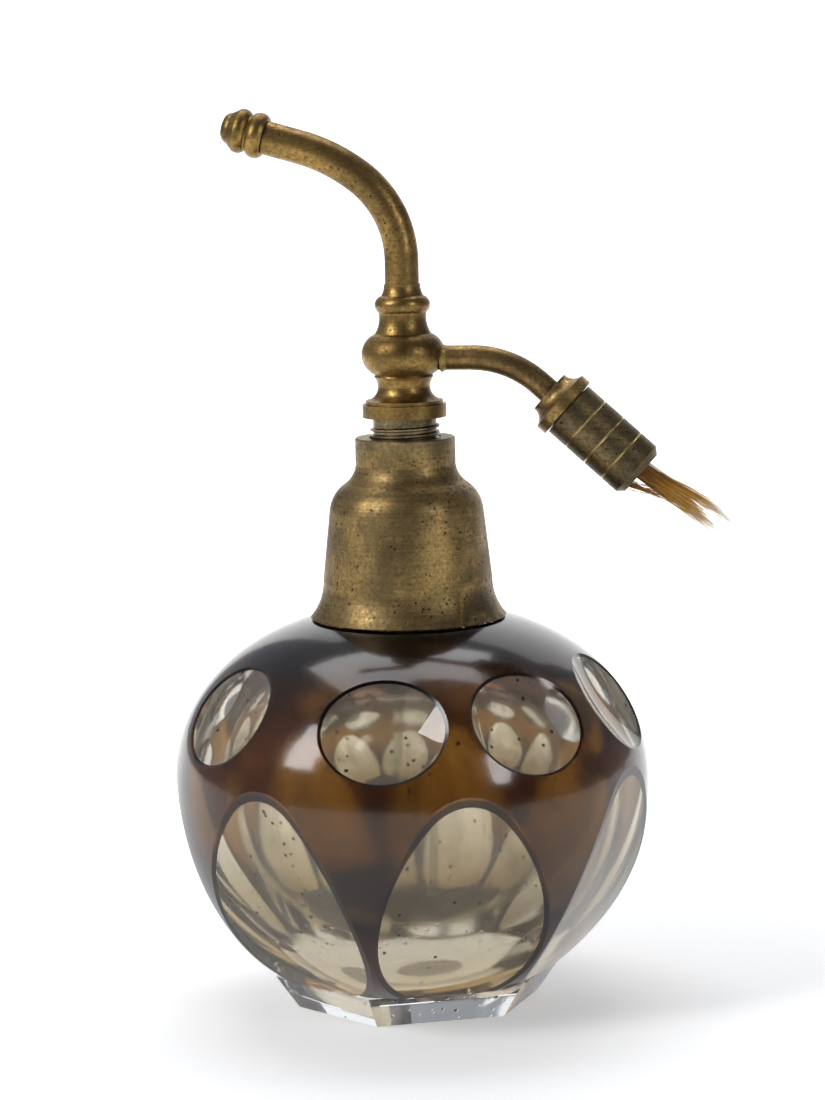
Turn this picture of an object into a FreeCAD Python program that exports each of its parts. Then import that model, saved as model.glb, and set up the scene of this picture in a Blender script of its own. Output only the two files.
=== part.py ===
import FreeCAD, Part
import math
import os

import Sketcher
from FreeCAD import Placement, Rotation, Vector

# A bulb atomiser for perfume: a cut glass bottle cased in amber, a brass bell on its neck, and a turned brass
# head that screws into the bell, with a gooseneck spout to -X and an air tube to +X that ends in a ferrule.
# Origin: centre of the foot's underside. +Z up. Millimetres.

doc = FreeCAD.newDocument("Atomiser")

# ---------------------------------------------------------------- driving sizes

SIZES = {
    # glass: its outline is |r/a|^n + |z/b|^n = 1 about the belly, above and below
    "belly_radius": 37.45, "belly_height": 35.0, "belly_rise": 28.0, "belly_drop": 35.5,
    "belly_power": 2.2, "casing_depth": 0.3, "casing_foot": 5.5,
    "shoulder_radius": 14.9,
    "hollow_radius": 30.5, "hollow_rise": 23.0, "hollow_drop": 24.5,
    "neck_radius": 10.5, "neck_base": 62.8, "neck_top": 80.5, "neck_bore": 7.2,
    "foot_top": 5.3, "foot_radius": 19.6, "foot_top_radius": 23.3, "arches": 7, "first_arch": -67.0,
    "arch_curve": 51.0, "arch_axis_in": 13.82, "arch_axis_up": 42.3,
    "window_curve": 30.0, "window_reach": 55.3, "window_up": 65.1,
    # bell and neck ring
    "bell_rim": 15.4, "bell_foot": 61.5, "bell_flare": 13.3, "bell_flare_up": 67.3, "bell_shoulder": 12.1,
    "bell_shoulder_up": 78.2, "bell_turn": 9.4, "bell_turn_up": 82.6, "bell_top": 7.85, "bell_top_up": 85.4,
    "bell_sheet": 0.6, "ring_foot": 88.0, "ring_top": 89.7, "ring_bore": 5.65,
    # threaded spigot
    "thread_root": 4.95, "thread_crest": 5.45, "thread_pitch": 1.0, "thread_foot": 86.4, "thread_length": 5.2,
    "spigot_foot": 86.0, "flange_foot": 92.9, "tenon_radius": 3.4, "tenon_top": 94.6, "spigot_bore": 2.6,
    # head
    "flange_radius": 6.57, "flange_top": 94.9, "step_radius": 6.05, "step_top": 95.5, "waist_radius": 4.06,
    "waist_up": 97.6, "collar_radius": 4.65, "collar_up": 99.2, "ball_foot": 4.5, "ball_foot_up": 99.5,
    "ball_top": 4.4, "ball_top_up": 105.9, "ball_curve": 3.5, "throat_radius": 3.75, "throat_up": 109.2,
    "bead_top": 3.3, "bead_top_up": 111.8, "bead_curve": 1.5, "head_top": 113.6, "head_top_radius": 2.85,
    "head_bore": 1.5,
    # gooseneck and nozzle
    "spout_radius": 2.64, "spout_bore": 2.0, "spout_foot": 111.2, "spout_rise": 5.95, "spout_bend": 16.5,
    "spout_bend_turn": 52.0, "spout_sweep": 28.0, "spout_sweep_turn": 22.0, "spout_run": 5.4,
    "capillary_radius": 0.75, "capillary_bore": 0.35, "capillary_foot": 95.0,
    "tip_radius": 2.15, "tip_length": 3.2, "tip_wall_gap": 0.5,
    "nozzle_start": 0.15, "nozzle_bead": 3.1, "bead_end": 2.55, "bead_bend": 1.7,
    "nozzle_groove": 2.85, "groove_start": 2.7, "groove_end": 3.0,
    "rim_start": 3.1, "nozzle_rim": 3.0, "rim_end": 5.2, "rim_bend": 1.45,
    "nozzle_step": 2.7, "step_at": 5.6, "nozzle_nose": 2.45, "nose_at": 5.9, "nose_bend": 1.5,
    "mouth_edge": 1.3, "nozzle_end": 7.05, "mist_mouth": 0.9, "mist_cone": 5.7, "nozzle_bore_end": 4.9,
    "jet_hole": 0.3, "jet_gap": 0.3, "jet_base": 1.1, "jet_cone": 2.6, "jet_end": 3.75, "jet_nose": 0.7,
    # dip tube
    "dip_radius": 1.3, "dip_bore": 0.6, "dip_foot": 15.5, "dip_top": 94.2,
    "bush_foot": 86.6, "bush_top": 90.6,
    # air line and ferrule
    "stub_radius": 1.92, "stub_start": 5.0, "stub_end": 10.7, "air_height": 102.05, "air_radius": 1.95,
    "air_bore": 1.2, "air_bend": 16.0, "air_run": 3.4,
    "solder_start": 6.0, "solder_end": 7.2, "solder_bulk": 0.4, "solder_hollow": 1.6,
    "ferrule_x": 22.85, "ferrule_z": 96.67, "ferrule_dip": 41.9,
    "cap_small": 3.53, "cap_flange": 5.27, "cap_cove": 2.16, "cap_end": 3.79, "cap_spigot": 3.6,
    "cap_spigot_end": 7.6, "sleeve_radius": 4.65, "sleeve_start": 3.98, "sleeve_bevel": 17.95,
    "sleeve_end": 19.0,
    "sleeve_mouth": 3.7, "sleeve_bore": 3.7, "scribe_depth": 0.12, "scribe_width": 0.3,
    "sleeve_lip": 3.0, "lip_inside": 17.6,
    "chamber_radius": 2.2, "chamber_start": 3.0, "air_shoulder": 1.5, "cap_rim": 0.35, "cap_cove_bend": 2.2,
    "seat_start": 5.8, "seat_end": 6.6, "seat_hole": 0.7, "valve_radius": 1.0, "valve_at": 5.04,
    "nipple_radius": 1.4, "barb_radius": 1.75, "barb_one": 8.6, "barb_two": 10.2, "barb_three": 11.8,
    "barb_step": 0.1, "nipple_end": 13.2,
    "rubber_bore": 1.85, "rubber_radius": 3.4, "rubber_start": 8.0, "rubber_end": 16.4,
    "gland_bore": 1.9, "gland_radius": 3.6, "gland_start": 16.5, "gland_end": 17.4,
    "tuft_start": 17.5, "tuft_radius": 2.4, "tuft_waist": 24.0, "tuft_tip_radius": 0.9, "tuft_tip": 31.0,
    "running_gap": 0.1,
}

sheet = doc.addObject("Spreadsheet::Sheet", "Sizes")
for row, (alias, number) in enumerate(SIZES.items(), start=1):
    sheet.set("A%d" % row, alias.replace("_", " "))
    sheet.set("B%d" % row, str(number))
    sheet.setAlias("B%d" % row, alias)
doc.recompute()


class Size:
    """A length or angle that carries its number and the sheet expression that gives it."""

    def __init__(self, number, text):
        self.number = number
        self.text = text

    def _join(self, other, sign, number):
        text = other.text if isinstance(other, Size) else repr(other)
        return Size(number, "(%s %s %s)" % (self.text, sign, text))

    def __add__(self, other):
        return self._join(other, "+", self.number + float(other))

    def __sub__(self, other):
        return self._join(other, "-", self.number - float(other))

    def __mul__(self, other):
        return self._join(other, "*", self.number * float(other))

    def __float__(self):
        return float(self.number)


def size(alias):
    return Size(SIZES[alias], "Sizes." + alias)


NOUGHT = Size(0.0, "0")

# ---------------------------------------------------------------- sketches and solids


def plane_of(body, role):
    return next(f for f in body.Origin.OriginFeatures if f.Role == role)


def new_sketch(body, name, role):
    sketch = body.newObject("Sketcher::SketchObject", name)
    sketch.AttachmentSupport = [(plane_of(body, role), "")]
    sketch.MapMode = "FlatFace"
    return sketch


def bind(sketch, constraint, text):
    """Adds a constraint and ties its value to a sheet expression."""
    sketch.setExpression("Constraints[%d]" % sketch.addConstraint(constraint), text)


def pin_point(sketch, edge, end, across, up):
    """Holds one end of an edge at (across, up)."""
    for kind, axis, value in (("DistanceX", -2, across), ("DistanceY", -1, up)):
        if abs(float(value)) < 1e-9:
            sketch.addConstraint(Sketcher.Constraint("PointOnObject", edge, end, axis))
        else:
            bind(sketch, Sketcher.Constraint(kind, edge, end, float(value)), value.text)


def arc_between(start, stop, radius):
    """The short arc from start to stop: a positive radius turns left on the way, a negative one right."""
    middle = (start + stop) * 0.5
    half = (stop - start) * 0.5
    left = Vector(-half.y, half.x, 0).normalize()
    side = math.copysign(1.0, radius)
    centre = middle + left * side * math.sqrt(max(radius * radius - half.Length ** 2, 0.0))
    first, last = (start, stop) if side > 0 else (stop, start)
    angles = [math.atan2(p.y - centre.y, p.x - centre.x) for p in (first, last)]
    return Part.ArcOfCircle(Part.Circle(centre, Vector(0, 0, 1), abs(radius)), *angles)


def outline(sketch, corners):
    """A closed chain through corners (across, up), where a third value bends the edge that leads there."""
    points = [Vector(float(c[0]), float(c[1]), 0) for c in corners]
    ends = []
    for i, corner in enumerate(corners):
        start, stop = points[i - 1], points[i]
        if len(corner) == 3:
            edge = sketch.addGeometry(arc_between(start, stop, float(corner[2])), False)
            ends.append((edge, 1, 2) if float(corner[2]) > 0 else (edge, 2, 1))
        else:
            edge = sketch.addGeometry(Part.LineSegment(start, stop), False)
            ends.append((edge, 1, 2))
    for i, corner in enumerate(corners):
        edge, head, tail = ends[i]
        after, after_head, _ = ends[(i + 1) % len(ends)]
        sketch.addConstraint(Sketcher.Constraint("Coincident", edge, tail, after, after_head))
        pin_point(sketch, edge, tail, corner[0], corner[1])
        if len(corner) == 3:
            turn = corner[2] if float(corner[2]) > 0 else corner[2] * -1.0
            bind(sketch, Sketcher.Constraint("Radius", edge, float(turn)), turn.text)


def turned(name, corners):
    """A body turned on the Z axis from an outline of (radius, height) corners."""
    body = doc.addObject("PartDesign::Body", name)
    sketch = new_sketch(body, name + "_outline", "XZ_Plane")
    outline(sketch, corners)
    turn = body.newObject("PartDesign::Revolution", name + "_turning")
    turn.Profile = sketch
    turn.ReferenceAxis = (sketch, ["V_Axis"])
    turn.Angle = 360
    doc.recompute()
    return body


def tube(name, role, across, up, heading, runs, radius, bore=None):
    """A round tube along tangent runs in the XZ plane: ("straight", length) or ("bend", radius, angle)."""
    body = doc.addObject("PartDesign::Body", name)
    spine = new_sketch(body, name + "_path", "XZ_Plane")
    here, way, last = Vector(float(across), float(up), 0), heading, None
    for run in runs:
        direction = Vector(math.cos(math.radians(way)), math.sin(math.radians(way)), 0)
        if run[0] == "straight":
            there = here + direction * float(run[1])
            edge = spine.addGeometry(Part.LineSegment(here, there), False)
            bind(spine, Sketcher.Constraint("Distance", edge, float(run[1])), run[1].text)
            head, tail = 1, 2
        else:
            left = math.copysign(1.0, float(run[2]))
            centre = here + Vector(-direction.y, direction.x, 0) * left * float(run[1])
            way += float(run[2])
            first = math.atan2(here.y - centre.y, here.x - centre.x)
            final = first + math.radians(float(run[2]))
            there = centre + Vector(math.cos(final), math.sin(final), 0) * float(run[1])
            circle = Part.Circle(centre, Vector(0, 0, 1), float(run[1]))
            angles = (first, final) if left > 0 else (final, first)
            edge = spine.addGeometry(Part.ArcOfCircle(circle, *angles), False)
            bind(spine, Sketcher.Constraint("Radius", edge, float(run[1])), run[1].text)
            sweep = run[2] if left > 0 else run[2] * -1.0
            bind(spine, Sketcher.Constraint("Angle", edge, math.radians(float(sweep))), sweep.text)
            head, tail = (1, 2) if left > 0 else (2, 1)
        if last is None:
            pin_point(spine, edge, head, across, up)
            if run[0] == "straight":
                spine.addConstraint(Sketcher.Constraint("Vertical" if heading == 90 else "Horizontal", edge))
            else:
                bind(spine, Sketcher.Constraint("DistanceX", edge, 3, centre.x), across.text)
        else:
            spine.addConstraint(Sketcher.Constraint("Tangent", last[0], last[1], edge, head))
        here, last = there, (edge, tail)
    rings = new_sketch(body, name + "_section", role)
    place = Vector(0, 0, float(up)) if role == "XY_Plane" else Vector(0, float(up), float(across))
    rings.AttachmentOffset = Placement(place, Rotation())
    for value in filter(None, (radius, bore)):
        circle = rings.addGeometry(Part.Circle(Vector(), Vector(0, 0, 1), float(value)), False)
        rings.addConstraint(Sketcher.Constraint("Coincident", circle, 3, -1, 1))
        bind(rings, Sketcher.Constraint("Radius", circle, float(value)), value.text)
    pipe = body.newObject("PartDesign::AdditivePipe", name + "_pipe")
    pipe.Profile = rings
    pipe.Spine = (spine, ["Edge%d" % (i + 1) for i in range(len(runs))])
    doc.recompute()
    return body, Vector(here.x, 0, here.y)


def stand(body, point, tilt):
    """Moves a turned body to a point of the XZ plane and tips its axis from +Z towards +X by tilt degrees."""
    body.Placement = Placement(point, Rotation(Vector(0, 1, 0), tilt))
    return body


def boolean(kind, name, base, tool):
    result = doc.addObject("Part::" + kind, name)
    result.Base = base
    result.Tool = tool
    return result


nodes = {}

# ---------------------------------------------------------------- bottle: clear glass under an amber casing


def bulge(radius, rise, start_height, stop_height, points=9):
    """Outline of the belly from one height to another, as points (radius, 0, height)."""
    centre, power = SIZES["belly_height"], SIZES["belly_power"]

    def angle(height):
        return math.asin(min(1.0, abs((height - centre) / rise) ** (power / 2)))

    first, last = angle(start_height), angle(stop_height)
    side = 1.0 if max(start_height, stop_height) > centre else -1.0
    outline_points = []
    for i in range(points):
        turn = first + (last - first) * i / (points - 1)
        across = radius * math.cos(turn) ** (2 / power)
        outline_points.append(Vector(across, 0, centre + side * rise * math.sin(turn) ** (2 / power)))
    return outline_points


def height_at(radius, rise, across):
    """Height on the belly's upper outline where its radius is across."""
    power = SIZES["belly_power"]
    return SIZES["belly_height"] + rise * (1 - (across / radius) ** power) ** (1 / power)


def curve(points):
    spline = Part.BSplineCurve()
    spline.interpolate(points)
    return spline.toShape()


def line(*points):
    return Part.makePolygon([Vector(r, 0, z) for r, z in points]).Edges


def revolved(edges):
    face = Part.Face(Part.Wire(Part.__sortEdges__(edges)))
    solid = face.revolve(Vector(), Vector(0, 0, 1), 360)
    return solid if isinstance(solid, Part.Solid) else Part.Solid(solid.Shells[0])


def belly_edges(depth, shoulder, start):
    """The belly's two curves, depth inside the outside, from the start height to the shoulder radius."""
    radius = SIZES["belly_radius"] - depth
    rise, drop = SIZES["belly_rise"] - depth, SIZES["belly_drop"] - depth
    low = bulge(radius, drop, start, SIZES["belly_height"])
    high = bulge(radius, rise, SIZES["belly_height"], height_at(radius, rise, shoulder))
    return curve(low), curve(high), low[0], high[-1]


depth, shoulder = SIZES["casing_depth"], SIZES["shoulder_radius"]
core_low, core_high, core_foot, core_end = belly_edges(depth, shoulder - depth, SIZES["foot_top"])
outer_low, outer_high, outer_foot, outer_end = belly_edges(0.0, shoulder, SIZES["casing_foot"])
inner_low, inner_high, inner_foot, inner_end = belly_edges(depth, shoulder - depth, SIZES["casing_foot"])
hollow_end_height = height_at(SIZES["hollow_radius"], SIZES["hollow_rise"], SIZES["neck_bore"])
hollow_low = bulge(SIZES["hollow_radius"], SIZES["hollow_drop"], SIZES["belly_height"] - SIZES["hollow_drop"],
                   SIZES["belly_height"])
hollow_low[0] = Vector(0, 0, hollow_low[0].z)
hollow_high = bulge(SIZES["hollow_radius"], SIZES["hollow_rise"], SIZES["belly_height"], hollow_end_height)

core_blank = doc.addObject("Part::Feature", "core_blank")
core_blank.Shape = revolved(
    [core_low, core_high, curve(hollow_low), curve(hollow_high)]
    + line((core_end.x, core_end.z), (SIZES["neck_radius"], SIZES["neck_base"]),
           (SIZES["neck_radius"], SIZES["neck_top"]), (SIZES["neck_bore"], SIZES["neck_top"]),
           (SIZES["neck_bore"], hollow_end_height))
    + line((0, hollow_low[0].z), (0, SIZES["foot_top"]), (core_foot.x, SIZES["foot_top"])))

casing_blank = doc.addObject("Part::Feature", "casing_blank")
casing_blank.Shape = revolved(
    [outer_low, outer_high, inner_low, inner_high]
    + line((outer_foot.x, outer_foot.z), (inner_foot.x, inner_foot.z))
    + line((outer_end.x, outer_end.z), (inner_end.x, inner_end.z)))

# centres of the hand-cut round windows, in degrees from +X; their spacing is a little uneven
WINDOWS = (-140, -87.6, -47, -6, 39, 84, 129.5, 174.6)


def grinders():
    """Cylinders that leave the arched faces standing inside them, and spheres that hollow out the windows."""
    count = SIZES["arches"]
    wheels = []
    for i in range(int(count)):
        wheel = doc.addObject("Part::Cylinder", "arch_wheel_%d" % i)
        wheel.setExpression("Radius", "Sizes.arch_curve")
        wheel.Height = 120
        angle = SIZES["first_arch"] + i * 360.0 / count
        lay = Rotation(Vector(0, 0, 1), angle).multiply(Rotation(Vector(1, 0, 0), 90))
        centre = Vector(-SIZES["arch_axis_in"], 60, SIZES["arch_axis_up"])
        wheel.Placement = Placement(Rotation(Vector(0, 0, 1), angle).multVec(centre), lay)
        wheels.append(wheel)
    balls = []
    for i, angle in enumerate(WINDOWS):
        ball = doc.addObject("Part::Sphere", "window_wheel_%d" % i)
        ball.setExpression("Radius", "Sizes.window_curve")
        centre = Vector(SIZES["window_reach"], 0, SIZES["window_up"])
        ball.Placement = Placement(Rotation(Vector(0, 0, 1), angle).multVec(centre), Rotation())
        balls.append(ball)
    return wheels, balls


def ground(name, blank, wheels, balls):
    for i, wheel in enumerate(wheels):
        blank = boolean("Common", "%s_arch_%d" % (name, i), blank, wheel)
    for i, ball in enumerate(balls):
        blank = boolean("Cut", "%s_window_%d" % (name, i), blank, ball)
    return blank


# corners of the hand-cut foot, in degrees from +X, one for each wedge between two arches
FOOT_CORNERS = (-151, -98.4, -36, 13, 62, 111, 160)


def foot():
    """The clear foot: a tapered prism with as many sides as there are arches, cut a little unevenly."""
    rings = []
    foot_top = ("foot_high", SIZES["foot_top_radius"], SIZES["foot_top"])
    for name, radius, up in (("foot_low", SIZES["foot_radius"], 0.0), foot_top):
        ring = doc.addObject("Part::Polygon", name)
        turns = [Rotation(Vector(0, 0, 1), angle) for angle in FOOT_CORNERS]
        ring.Nodes = [turn.multVec(Vector(radius, 0, up)) for turn in turns]
        ring.Close = True
        rings.append(ring)
    loft = doc.addObject("Part::Loft", "foot")
    loft.Sections = rings
    loft.Solid = True
    loft.Ruled = True
    return loft


arch_wheels, window_balls = grinders()
nodes["bottle"] = boolean("Fuse", "bottle", ground("core", core_blank, arch_wheels, window_balls), foot())
nodes["amber_casing"] = ground("casing", casing_blank, arch_wheels, window_balls)
doc.recompute()

# ---------------------------------------------------------------- neck: plaster, bell, ring, seal

thin = size("bell_sheet")
nodes["bell_collar"] = turned("bell_collar", [
    (size("bell_rim") - thin, size("bell_foot")),
    (size("bell_rim"), size("bell_foot")),
    (size("bell_flare"), size("bell_flare_up"), Size(-9.0, "-9")),
    (size("bell_shoulder"), size("bell_shoulder_up")),
    (size("bell_turn"), size("bell_turn_up"), Size(5.8, "5.8")),
    (size("bell_top"), size("bell_top_up"), Size(-4.2, "-4.2")),
    (size("bell_top"), size("ring_foot")),
    (size("bell_top") - thin * 2, size("ring_foot")),
    (size("bell_top") - thin * 2, size("bell_top_up") - thin),
    (size("bell_turn") - thin, size("bell_turn_up") - thin, Size(4.8, "4.8")),
    (size("bell_shoulder") - thin, size("bell_shoulder_up") - thin, Size(-5.2, "-5.2")),
    (size("bell_flare") - thin, size("bell_flare_up")),
])

nodes["neck_ring"] = turned("neck_ring", [
    (size("ring_bore"), size("ring_foot")),
    (size("bell_top"), size("ring_foot")),
    (size("bell_top"), size("ring_top") - 0.2),
    (size("bell_top") - 0.2, size("ring_top")),
    (size("ring_bore"), size("ring_top")),
])

nodes["neck_plaster"] = turned("neck_plaster", [
    (size("neck_radius"), size("neck_base") + 0.3),
    (size("bell_flare") - 0.9, size("neck_base") + 1.2),
    (size("bell_shoulder") - 0.9, size("bell_shoulder_up") - 1.0),
    (size("neck_radius"), size("neck_top")),
])

nodes["neck_seal"] = turned("neck_seal", [
    (size("ring_bore"), size("neck_top")),
    (size("neck_radius") - 0.9, size("neck_top")),
    (size("bell_top") - 1.5, size("neck_top") + 2.3),
    (size("thread_root") - 0.6, size("neck_top") + 2.3),
    (size("thread_root") - 0.6, size("neck_top") + 1.2),
])

# ---------------------------------------------------------------- dip tube, which lifts with the head

nodes["dip_tube"] = turned("dip_tube", [
    (size("dip_bore"), size("dip_foot")),
    (size("dip_radius"), size("dip_foot")),
    (size("dip_radius"), size("dip_top")),
    (size("dip_bore"), size("dip_top")),
])
nodes["dip_bush"] = turned("dip_bush", [
    (size("dip_radius"), size("bush_foot")),
    (size("spigot_bore") - 0.05, size("bush_foot")),
    (size("spigot_bore") - 0.05, size("bush_top")),
    (size("dip_radius"), size("bush_top")),
])

# ---------------------------------------------------------------- head: threaded spigot and turned body

spigot = turned("screw_spigot", [
    (size("spigot_bore"), size("spigot_foot")),
    (size("thread_root"), size("spigot_foot")),
    (size("thread_root"), size("flange_foot")),
    (size("tenon_radius"), size("flange_foot")),
    (size("tenon_radius"), size("tenon_top")),
    (size("spigot_bore"), size("tenon_top")),
])


def thread(body):
    """One right-hand ridge wound up the spigot."""
    profile = new_sketch(body, "ridge_profile", "XZ_Plane")
    foot_up = size("thread_foot")
    outline(profile, [
        (size("thread_root") - 0.15, foot_up - 0.4),
        (size("thread_crest"), foot_up - 0.12),
        (size("thread_crest"), foot_up + 0.12),
        (size("thread_root") - 0.15, foot_up + 0.4),
    ])
    ridge = body.newObject("PartDesign::AdditiveHelix", "ridge")
    ridge.Profile = profile
    ridge.ReferenceAxis = (profile, ["V_Axis"])
    ridge.Mode = 0
    ridge.setExpression("Pitch", "Sizes.thread_pitch")
    ridge.setExpression("Height", "Sizes.thread_length")
    ridge.LeftHanded = False
    doc.recompute()


thread(spigot)
nodes["screw_spigot"] = spigot

head = turned("head_body", [
    (size("tenon_radius"), size("flange_foot")),
    (size("flange_radius"), size("flange_foot")),
    (size("flange_radius"), size("flange_top")),
    (size("step_radius"), size("flange_top")),
    (size("step_radius"), size("step_top")),
    (size("waist_radius"), size("waist_up"), Size(-2.2, "-2.2")),
    (size("collar_radius"), size("collar_up"), Size(-2.6, "-2.6")),
    (size("ball_foot"), size("ball_foot_up")),
    (size("ball_top"), size("ball_top_up"), size("ball_curve")),
    (size("throat_radius"), size("throat_up"), Size(-4.6, "-4.6")),
    (size("bead_top"), size("bead_top_up"), size("bead_curve")),
    (size("head_top_radius"), size("head_top"), Size(-3.0, "-3")),
    (size("spout_radius"), size("head_top")),
    (size("spout_radius"), size("spout_foot")),
    (size("head_bore"), size("spout_foot")),
    (size("head_bore"), size("tenon_top")),
    (size("tenon_radius"), size("tenon_top")),
])


def drill_side(body):
    """The side hole in the ball that takes the air stub."""
    hole = new_sketch(body, "side_hole_outline", "YZ_Plane")
    circle = Part.Circle(Vector(0, SIZES["air_height"], 0), Vector(0, 0, 1), SIZES["stub_radius"])
    ring = hole.addGeometry(circle, False)
    hole.addConstraint(Sketcher.Constraint("PointOnObject", ring, 3, -2))
    bind(hole, Sketcher.Constraint("DistanceY", ring, 3, SIZES["air_height"]), "Sizes.air_height")
    bind(hole, Sketcher.Constraint("Radius", ring, SIZES["stub_radius"]), "Sizes.stub_radius")
    before = body.Shape.Volume
    pocket = body.newObject("PartDesign::Pocket", "side_hole")
    pocket.Profile = hole
    pocket.Length = 12
    pocket.Reversed = True
    doc.recompute()
    if body.Shape.Volume > before - 1.0:
        raise SystemExit("the side hole missed the ball")


drill_side(head)
nodes["head_body"] = head

# ---------------------------------------------------------------- gooseneck, capillary and nozzle

nodes["spout_tube"], spout_end = tube(
    "spout_tube", "XY_Plane", NOUGHT, size("spout_foot"), 90,
    [("straight", size("spout_rise")), ("bend", size("spout_bend"), size("spout_bend_turn")),
     ("bend", size("spout_sweep"), size("spout_sweep_turn")), ("straight", size("spout_run"))],
    size("spout_radius"), size("spout_bore"))
nodes["liquid_tube"], _ = tube(
    "liquid_tube", "XY_Plane", NOUGHT, size("capillary_foot"), 90,
    [("straight", size("spout_foot") - size("capillary_foot") + size("spout_rise")),
     ("bend", size("spout_bend"), size("spout_bend_turn")),
     ("bend", size("spout_sweep"), size("spout_sweep_turn")),
     ("straight", size("spout_run") + size("tip_length"))],
    size("capillary_radius"), size("capillary_bore"))

nozzle_tilt = -(SIZES["spout_bend_turn"] + SIZES["spout_sweep_turn"])


def on_spout(name, corners):
    """A piece turned on the spout end's axis."""
    nodes[name] = stand(turned(name, corners), spout_end, nozzle_tilt)


jet_foot = size("tip_length") + size("jet_gap")
jet_tip = size("tip_length") + size("jet_end")
running_bore = size("tip_radius") + size("running_gap")
on_spout("spout_tip", [
    (size("capillary_radius") + size("tip_wall_gap"), NOUGHT),
    (size("tip_radius"), NOUGHT),
    (size("tip_radius"), size("tip_length")),
    (size("capillary_radius") + size("tip_wall_gap"), size("tip_length")),
])
on_spout("nozzle_jet", [
    (size("jet_hole"), jet_foot),
    (size("tip_radius") - 0.05, jet_foot),
    (size("tip_radius") - 0.05, size("tip_length") + size("jet_base")),
    (size("jet_nose"), size("tip_length") + size("jet_cone")),
    (size("jet_nose"), jet_tip),
    (size("jet_hole"), jet_tip),
])
on_spout("nozzle_cap", [
    (running_bore, size("nozzle_start")),
    (size("nozzle_bead"), size("nozzle_start")),
    (size("nozzle_bead"), size("bead_end"), size("bead_bend")),
    (size("nozzle_groove"), size("groove_start")),
    (size("nozzle_groove"), size("groove_end")),
    (size("nozzle_bead"), size("rim_start")),
    (size("nozzle_rim"), size("rim_end"), size("rim_bend")),
    (size("nozzle_step"), size("step_at")),
    (size("nozzle_nose"), size("nose_at")),
    (size("mouth_edge"), size("nozzle_end"), size("nose_bend")),
    (size("mist_mouth"), size("nozzle_end")),
    (size("mist_mouth"), size("mist_cone")),
    (running_bore, size("nozzle_bore_end")),
])

# ---------------------------------------------------------------- air line

side = Vector(0, 0, SIZES["air_height"])
nodes["air_stub"] = stand(turned("air_stub", [
    (size("air_bore"), size("stub_start")),
    (size("stub_radius"), size("stub_start")),
    (size("stub_radius"), size("stub_end")),
    (size("air_bore"), size("stub_end")),
]), side, 90)
solder_ring = stand(turned("solder_ring", [
    (size("stub_radius"), size("solder_start")),
    (size("stub_radius") + size("solder_bulk"), size("solder_start")),
    (size("stub_radius"), size("solder_end"), size("solder_hollow") * -1.0),
]), side, 90)
nodes["stub_solder"] = boolean("Cut", "stub_solder", solder_ring, head)
nodes["air_tube"], _ = tube(
    "air_tube", "YZ_Plane", size("stub_end"), size("air_height"), 0,
    [("bend", size("air_bend"), size("ferrule_dip") * -1.0), ("straight", size("air_run"))],
    size("air_radius"), size("air_bore"))

# ---------------------------------------------------------------- ferrule, valve and the torn silk

ferrule_point = Vector(SIZES["ferrule_x"], 0, SIZES["ferrule_z"])
ferrule_tilt = 90 + SIZES["ferrule_dip"]


def on_ferrule(name, corners):
    """A piece turned on the ferrule's axis, from corners of radius and distance along it."""
    nodes[name] = stand(turned(name, corners), ferrule_point, ferrule_tilt)


on_ferrule("ferrule_cap", [
    (size("air_radius"), NOUGHT),
    (size("cap_small"), NOUGHT),
    (size("cap_small"), size("cap_rim")),
    (size("cap_flange"), size("cap_cove"), size("cap_cove_bend") * -1.0),
    (size("cap_flange"), size("cap_end")),
    (size("cap_spigot"), size("cap_end")),
    (size("cap_spigot"), size("cap_spigot_end")),
    (size("chamber_radius"), size("cap_spigot_end")),
    (size("chamber_radius"), size("chamber_start")),
    (size("air_bore"), size("chamber_start")),
    (size("air_bore"), size("air_shoulder")),
    (size("air_radius"), size("air_shoulder")),
])


def sleeve_like(name, bore, radius, start, end):
    """A plain ring on the ferrule's axis."""
    on_ferrule(name, [(size(bore), size(start)), (size(radius), size(start)),
                      (size(radius), size(end)), (size(bore), size(end))])


sleeve_like("valve_seat", "seat_hole", "chamber_radius", "seat_start", "seat_end")
sleeve_like("rubber_neck", "rubber_bore", "rubber_radius", "rubber_start", "rubber_end")
sleeve_like("gland_ring", "gland_bore", "gland_radius", "gland_start", "gland_end")

on_ferrule("hose_nipple", [
    (size("seat_hole"), size("seat_end")),
    (size("chamber_radius"), size("seat_end")),
    (size("chamber_radius"), size("cap_spigot_end")),
    (size("nipple_radius"), size("cap_spigot_end")),
    (size("nipple_radius"), size("barb_one")),
    (size("barb_radius"), size("barb_one") + size("barb_step")),
    (size("nipple_radius"), size("barb_two")),
    (size("barb_radius"), size("barb_two") + size("barb_step")),
    (size("nipple_radius"), size("barb_three")),
    (size("nipple_radius"), size("nipple_end")),
    (size("seat_hole"), size("nipple_end")),
])
on_ferrule("silk_tuft", [
    (NOUGHT, size("tuft_start")),
    (size("tuft_radius"), size("tuft_start")),
    (size("tuft_radius"), size("tuft_waist")),
    (size("tuft_tip_radius"), size("tuft_tip")),
    (NOUGHT, size("tuft_tip")),
])

# distances from the sleeve's start to its three scribed lines
SCRIBED = (3.55, 7.3, 10.9)


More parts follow.
